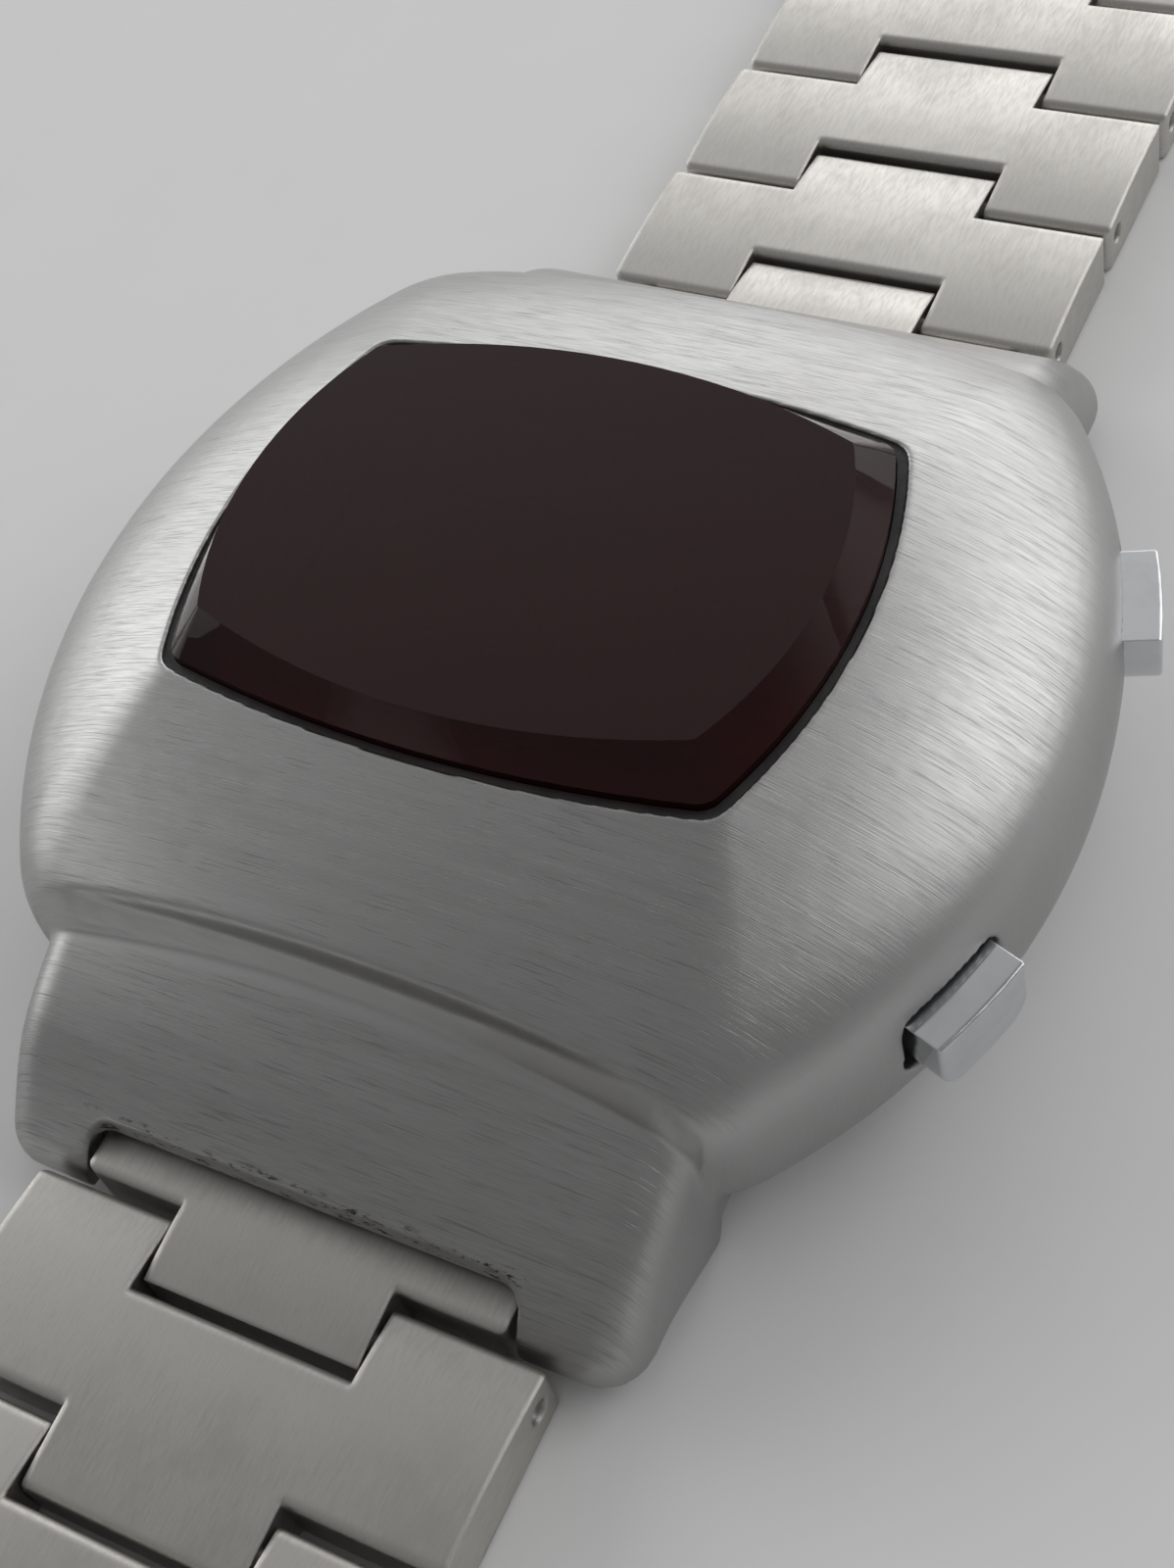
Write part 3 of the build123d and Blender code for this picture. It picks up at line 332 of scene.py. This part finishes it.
def satin_metal(name, colour, dark, roughness, grains, strength, edge_radius=0.0):
    """Metal with a fine grain of its own direction and faint clouding."""
    made, tree, shader = new_material(name, colour, metallic=1.0, roughness=roughness)
    point = place(tree)
    grain = stretched_noise(tree, point, grains, detail=3.0, roughness=0.6)
    cloud = stretched_noise(tree, point, metal_cloud_grain, detail=3.0, roughness=0.6)
    share = product(tree, ramp(tree, grain, metal_grain_band), metal_grain_share)
    share = maths(tree, "MULTIPLY_ADD", ramp(tree, cloud, metal_cloud_band), metal_cloud_share, share)
    tree.links.new(mix_colour(tree, share, colour, dark), shader.inputs["Base Color"])
    both = maths(tree, "ADD", grain, cloud)
    rough = ramp(tree, both, metal_gloss_band, spread_about(roughness, metal_gloss_spread))
    tree.links.new(rough, shader.inputs["Roughness"])
    bump(tree, shader, grain, strength, metal_relief, edge_radius)
    return made


# Rubber, moulded plastic, paint and laminate

dull_cloud_grain = (0.5, 0.5, 0.5)
dull_cloud_band = (0.35, 0.65)
dull_gloss_band = (0.3, 0.7)
dull_gloss_spread = (0.85, 1.15)
dull_relief = 0.02


def dull(name, colour, dark, roughness, grains, strength):
    """A dull stuff of mottled colour, with uneven gloss and a fine bump."""
    made, tree, shader = new_material(name, colour, metallic=0.0, roughness=roughness)
    point = place(tree)
    grain = stretched_noise(tree, point, grains, detail=4.0, roughness=0.6)
    cloud = stretched_noise(tree, point, dull_cloud_grain)
    tone = mix_colour(tree, ramp(tree, cloud, dull_cloud_band), colour, dark)
    tree.links.new(tone, shader.inputs["Base Color"])
    rough = ramp(tree, grain, dull_gloss_band, spread_about(roughness, dull_gloss_spread))
    tree.links.new(rough, shader.inputs["Roughness"])
    bump(tree, shader, grain, strength, dull_relief)
    return made


# Crystal: its density is per metre of the way through it

crystal_colour = (0.75, 0.01, 0.02)
crystal_transmission = 0.982
crystal_index = 1.36
crystal_depth_colour = (0.78, 0.03, 0.03)
crystal_density = 2500.0
smear_grain = (0.3, 0.3, 0.3)
smear_band = (0.4, 0.75)
smear_roughness = (0.01, 0.035)


def red_crystal():
    """Deep red glass that darkens with the way light goes through it."""
    made, tree, shader = new_material("crystal_red_glass", crystal_colour, metallic=0.0, roughness=0.03)
    shader.inputs["Transmission Weight"].default_value = crystal_transmission
    shader.inputs["IOR"].default_value = crystal_index
    smear = stretched_noise(tree, place(tree), smear_grain, detail=4.0, roughness=0.6)
    tree.links.new(ramp(tree, smear, smear_band, smear_roughness), shader.inputs["Roughness"])
    depth = tree.nodes.new("ShaderNodeVolumeAbsorption")
    depth.inputs["Color"].default_value = (*crystal_depth_colour, 1.0)
    depth.inputs["Density"].default_value = crystal_density
    tree.links.new(depth.outputs["Volume"], tree.nodes["Material Output"].inputs["Volume"])
    return made


# Polished metal

wipe_grain = (0.6, 0.6, 1.6)
wipe_gloss_band = (0.35, 0.7)
wipe_gloss_spread = (0.7, 1.5)
wipe_tone_band = (0.4, 0.8)
wipe_tone_share = (0.0, 0.4)
wipe_darkness = 0.8
handling_grain = (2.0, 2.0, 18.0)
polished_relief = 0.004
polished_relief_strength = 0.08


def polished(name, colour, roughness, edge_radius):
    """Bright metal with faint wiping marks and small handling scratches."""
    made, tree, shader = new_material(name, colour, metallic=1.0, roughness=roughness)
    point = place(tree)
    wipe = stretched_noise(tree, point, wipe_grain, detail=4.0, roughness=0.6)
    hair = stretched_noise(tree, point, handling_grain, roughness=0.6)
    rough = ramp(tree, wipe, wipe_gloss_band, spread_about(roughness, wipe_gloss_spread))
    tree.links.new(rough, shader.inputs["Roughness"])
    marks = maths(tree, "ADD", wipe, hair)
    bump(tree, shader, marks, polished_relief_strength, polished_relief, edge_radius)
    dark = [part * wipe_darkness for part in colour]
    tone = mix_colour(tree, ramp(tree, wipe, wipe_tone_band, wipe_tone_share), colour, dark)
    tree.links.new(tone, shader.inputs["Base Color"])
    return made


# The finish of each material slot

finishes = {
    "case_steel": brushed_case(),
    "back_steel": satin_metal(
        "back_steel_satin",
        (0.58, 0.58, 0.59),
        (0.45, 0.45, 0.46),
        roughness=0.32,
        grains=drawn_along_y,
        strength=0.25,
        edge_radius=0.15,
    ),
    "crystal_glass": red_crystal(),
    "seal_rubber": dull(
        "seal_black_rubber",
        (0.012, 0.012, 0.012),
        (0.03, 0.029, 0.028),
        roughness=0.6,
        grains=even_grain,
        strength=0.3,
    ),
    "mask_black": dull(
        "mask_black_paint",
        (0.04, 0.022, 0.022),
        (0.05, 0.028, 0.028),
        roughness=0.7,
        grains=even_grain,
        strength=0.2,
    ),
    "display_ceramic": dull(
        "display_dark_ceramic",
        (0.05, 0.036, 0.036),
        (0.04, 0.028, 0.028),
        roughness=0.35,
        grains=even_grain,
        strength=0.1,
    ),
    "led_red": dull(
        "numerals_unlit_red",
        (0.062, 0.01, 0.012),
        (0.052, 0.008, 0.01),
        roughness=0.4,
        grains=even_grain,
        strength=0.1,
    ),
    "board_laminate": dull(
        "board_green_laminate",
        (0.03, 0.13, 0.06),
        (0.02, 0.08, 0.04),
        roughness=0.35,
        grains=drawn_along_x,
        strength=0.2,
    ),
    "module_plastic": dull(
        "module_black_plastic",
        (0.03, 0.03, 0.033),
        (0.02, 0.02, 0.022),
        roughness=0.45,
        grains=even_grain,
        strength=0.25,
    ),
    "chip_black": dull(
        "chip_black_plastic",
        (0.02, 0.02, 0.02),
        (0.035, 0.035, 0.036),
        roughness=0.5,
        grains=even_grain,
        strength=0.3,
    ),
    "part_metal": satin_metal(
        "part_drawn_metal",
        (0.7, 0.7, 0.67),
        (0.5, 0.5, 0.48),
        roughness=0.28,
        grains=drawn_along_x,
        strength=0.2,
    ),
    "capacitor_tan": dull(
        "capacitor_fired_tan",
        (0.42, 0.28, 0.15),
        (0.3, 0.2, 0.1),
        roughness=0.4,
        grains=even_grain,
        strength=0.2,
    ),
    "cell_steel": satin_metal(
        "cell_nickelled_steel",
        (0.68, 0.67, 0.65),
        (0.5, 0.5, 0.48),
        roughness=0.25,
        grains=even_grain,
        strength=0.15,
    ),
    "contact_brass": satin_metal(
        "contact_gilt_brass",
        (0.75, 0.56, 0.25),
        (0.6, 0.42, 0.18),
        roughness=0.25,
        grains=drawn_along_x,
        strength=0.2,
    ),
    "button_steel": polished(
        "button_polished_steel", (0.66, 0.67, 0.69), roughness=0.08, edge_radius=0.08
    ),
    "clip_steel": polished("clip_spring_steel", (0.6, 0.6, 0.62), roughness=0.2, edge_radius=0.02),
    "bracelet_steel": satin_metal(
        "bracelet_satin_steel",
        (0.57, 0.555, 0.525),
        (0.47, 0.455, 0.43),
        roughness=0.38,
        grains=drawn_on_straps,
        strength=0.3,
        edge_radius=0.3,
    ),
    "clasp_steel": satin_metal(
        "clasp_satin_steel",
        (0.56, 0.55, 0.53),
        (0.43, 0.42, 0.4),
        roughness=0.33,
        grains=drawn_along_y,
        strength=0.3,
        edge_radius=0.15,
    ),
    "pin_steel": satin_metal(
        "pin_drawn_steel",
        (0.6, 0.6, 0.6),
        (0.4, 0.4, 0.4),
        roughness=0.25,
        grains=drawn_along_x,
        strength=0.15,
        edge_radius=0.05,
    ),
}
slot_of = {row["node"]: row["material_slot"] for row in frame["record"]["subparts"]}
for name, piece in nodes.items():
    piece.data.materials.clear()
    piece.data.materials.append(finishes[slot_of[name]])
    for face in piece.data.polygons:
        face.material_index = 0


# The case as one flowing casting, with round valleys where the hoods leave the body: lengths in mm

skin_grain = 0.12
skin_weld = 0.001
skin_rounds = 4
hood_zone_start = 13.6
hood_zone_fade = 0.8
hood_zone_floor = 1.2
hood_zone_floor_fade = 0.5
hood_zone_bottom = 0.4
notch_half_width = 9.6
notch_start = 17.2
notch_height = 4.2
brow_wall_fade = 0.2
hood_crowned_to = 20.5
hood_drop = 0.35
hood_crown = 0.8
hood_side_overrun = 0.3
valley_radius = 0.7
valley_rounds = 110
valley_step = 0.9
direction_rounds = 8
shortest_direction = 0.1
hood_rounds = 4


def neighbour_mean(values, links):
    """For each point, the mean of a vector over the points that an edge joins it to."""
    first = np.concatenate([links[:, 0], links[:, 1]])
    second = np.concatenate([links[:, 1], links[:, 0]])
    count = np.maximum(np.bincount(first, minlength=len(values)), 1)
    columns = [np.bincount(first, column[second], len(values)) for column in values.T]
    return np.stack(columns, axis=1) / count[:, None]


def relaxed(values, links, weights, rounds):
    """Moves each vector half way to its neighbours' mean, by its weight, a number of rounds."""
    for _ in range(rounds):
        values = values + 0.5 * weights * (neighbour_mean(values, links) - values)
    return values


def filled(points, links, outward, weights, radius, rounds):
    """Raises points along their outward directions until no hollow is tighter than a radius."""
    steepest = skin_grain**2 / (4 * radius)
    for _ in range(rounds):
        rise = ((neighbour_mean(points, links) - points) * outward).sum(axis=1) - steepest
        points = points + valley_step * (weights * np.maximum(rise, 0))[:, None] * outward
    return points


def smoothstep(value, low, high):
    """0 below low, 1 above high, and a smooth rise between."""
    share = np.clip((value - low) / (high - low), 0, 1)
    return share * share * (3 - 2 * share)


def read_vectors(collection, key):
    """One vector to a row, from a mesh's points."""
    flat = np.empty(len(collection) * 3)
    collection.foreach_get(key, flat)
    return flat.reshape(-1, 3)


def put_points(mesh, points):
    """Sets a mesh's points, given in mm."""
    mesh.vertices.foreach_set("co", (points * MM).ravel())
    mesh.update()


def even_skin(source):
    """A closed mesh of even small faces over another mesh."""
    blank = bpy.data.objects.new("case_blank", source.copy())
    bpy.context.scene.collection.objects.link(blank)
    weld = blank.modifiers.new("weld", "WELD")
    weld.merge_threshold = skin_weld * MM
    remesh = blank.modifiers.new("remesh", "REMESH")
    remesh.mode = "VOXEL"
    remesh.voxel_size = skin_grain * MM
    mesh = bpy.data.meshes.new_from_object(blank.evaluated_get(bpy.context.evaluated_depsgraph_get()))
    bpy.data.objects.remove(blank)
    return mesh


def hood_weights(across, along, up):
    """How freely each point of the skin may move: 1 on the hoods, 0 on the body and in the notches."""
    weights = smoothstep(along, hood_zone_start, hood_zone_start + hood_zone_fade)
    weights = weights * smoothstep(up, hood_zone_floor - hood_zone_floor_fade, hood_zone_floor)
    weights[(across < notch_half_width) & (up < notch_height) & (along > notch_start)] = 0
    return weights


def hood_lowering(across, along):
    """How far the hoods lie lower behind the brow, more so towards their sides."""
    behind_brow = along - brow_curve * across**2
    lowered = smoothstep(behind_brow, brow_wall, brow_wall + brow_wall_fade)
    lowered = lowered * (1 - smoothstep(along, brow_wall, hood_crowned_to))
    lowered = lowered * (across < hood_half_width + hood_side_overrun)
    return lowered * (hood_drop + hood_crown * (across / hood_half_width) ** 2)


def flowing_case():
    """A fine skin over the CAD case, whose creases between body and hoods are round valleys."""
    mesh = even_skin(nodes["case_shell"].data)
    links = np.empty(len(mesh.edges) * 2, dtype=np.int64)
    mesh.edges.foreach_get("vertices", links)
    links = links.reshape(-1, 2)
    points = relaxed(read_vectors(mesh.vertices, "co") / MM, links, 1.0, skin_rounds)
    put_points(mesh, points)
    outward = read_vectors(mesh.vertices, "normal")

    across, along, up = np.abs(points[:, 0]), np.abs(points[:, 1]), points[:, 2]
    zone = (along > hood_zone_start) & (up > hood_zone_bottom)
    number = np.cumsum(zone) - 1
    zone_links = number[links[zone[links].all(axis=1)]]
    weights = hood_weights(across, along, up)
    points[:, 2] -= weights * hood_lowering(across, along)
    way = relaxed(outward[zone], zone_links, 1.0, direction_rounds)
    way = way / np.maximum(np.linalg.norm(way, axis=1), shortest_direction)[:, None]
    hood = filled(points[zone], zone_links, way, weights[zone], valley_radius, valley_rounds)
    points[zone] = relaxed(hood, zone_links, weights[zone][:, None], hood_rounds)
    put_points(mesh, points)
    for face in mesh.polygons:
        face.use_smooth = True
    made = bpy.data.objects.new("case_shell_skin", mesh)
    bpy.context.scene.collection.objects.link(made)
    mesh.materials.clear()
    mesh.materials.append(finishes["case_steel"])
    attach(made, "case")
    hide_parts("case_shell")


flowing_case()


# The return springs, which close up by as much as their buttons travel: here each coil only gets a mesh
# of its own

for joint in frame["record"]["behaviour"]["joints"]:
    for spring in joint.get("deforming_nodes", []):
        coil = nodes[spring["node"]]
        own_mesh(coil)


# Stage, with lengths in mm: a pale floor, three soft lamps, and a studio darker in front and overhead

floor_half_width = 3000.0
floor_drop = 0.02
floor_colour = (0.8, 0.8, 0.8)
floor_speckle = (0.83, 0.83, 0.83)
floor_roughness = 0.9
floor_grain = (0.2, 0.2, 0.2)
lamp_target = (0, 0, 5)
lamp_spread = math.radians(90)
studio_tilt = (-0.3, 0.85, -0.5)
studio_band = (-0.3, 0.75)
studio_strength = (0.25, 1.0)


def pale_floor():
    """A wide matt sheet just under the watch."""
    mesh = bpy.data.meshes.new("floor")
    half = floor_half_width * MM
    corners = [(-half, -half, 0), (half, -half, 0), (half, half, 0), (-half, half, 0)]
    mesh.from_pydata(corners, [], [(0, 1, 2, 3)])
    floor = bpy.data.objects.new("floor", mesh)
    bpy.context.scene.collection.objects.link(floor)
    floor.location.z = -floor_drop * MM
    paint, tree, shader = new_material("floor_pale", floor_colour, 0.0, floor_roughness)
    speckle = stretched_noise(tree, place(tree), floor_grain, detail=3.0)
    tree.links.new(mix_colour(tree, speckle, floor_colour, floor_speckle), shader.inputs["Base Color"])
    mesh.materials.append(paint)


def soft_light(name, place_mm, size_mm, watts):
    """A rectangular lamp that faces the watch, with its light kept to a cone."""
    lamp = bpy.data.lights.new(name, "AREA")
    lamp.shape = "RECTANGLE"
    lamp.size, lamp.size_y = from_mm(size_mm)
    lamp.energy = watts
    lamp.spread = lamp_spread
    made = bpy.data.objects.new(name, lamp)
    bpy.context.scene.collection.objects.link(made)
    start, end = Vector(place_mm) * MM, Vector(lamp_target) * MM
    made.location = start
    made.rotation_mode = "QUATERNION"
    made.rotation_quaternion = (end - start).to_track_quat("-Z", "Y")


def studio_world():
    """A white studio whose strength rises along a slant from the front and overhead to the back."""
    world = bpy.data.worlds.new("studio")
    world.use_nodes = True
    tree = world.node_tree
    view = tree.nodes.new("ShaderNodeTexCoord").outputs["Generated"]
    heading = add_node(tree, "ShaderNodeSeparateXYZ", Vector=view).outputs
    slant = maths(tree, "MULTIPLY", heading["Y"], studio_tilt[1])
    slant = maths(tree, "MULTIPLY_ADD", heading["Z"], studio_tilt[2], slant)
    slant = maths(tree, "MULTIPLY_ADD", heading["X"], studio_tilt[0], slant)
    backdrop = tree.nodes["Background"]
    backdrop.inputs["Color"].default_value = (1.0, 1.0, 1.0, 1.0)
    tree.links.new(ramp(tree, slant, studio_band, studio_strength), backdrop.inputs["Strength"])
    bpy.context.scene.world = world
    bpy.context.scene.view_settings.view_transform = "Standard"


pale_floor()
soft_light("light_left", place_mm=(-480, 60, 175), size_mm=(760, 340), watts=0.32)
soft_light("light_right", place_mm=(330, 260, 270), size_mm=(400, 400), watts=0.22)
soft_light("light_back", place_mm=(-20, 490, 190), size_mm=(700, 340), watts=0.22)
studio_world()


# Camera, at the photograph's viewing angle: its place in mm, and the ways that it looks

camera_place = (34.68, -41.25, 67.85)
camera_right = (0.8806732, 0.43238659, -0.19353695)
camera_forward = (-0.40224129, 0.46672788, -0.78763382)
camera_lens = 51.75
camera_sensor = 36.0
nearest_seen = 1.0
farthest_seen = 10000.0


def photo_camera():
    """The camera that sees the watch as the photograph does."""
    data = bpy.data.cameras.new("camera")
    data.lens = camera_lens
    data.sensor_width = camera_sensor
    data.clip_start, data.clip_end = from_mm((nearest_seen, farthest_seen))
    camera = bpy.data.objects.new("camera", data)
    bpy.context.scene.collection.objects.link(camera)
    right, forward = Vector(camera_right), Vector(camera_forward)
    turn = Matrix((right, right.cross(forward), -forward)).transposed()
    camera.matrix_world = Matrix.Translation(Vector(camera_place) * MM) @ turn.to_4x4()
    bpy.context.scene.camera = camera


photo_camera()
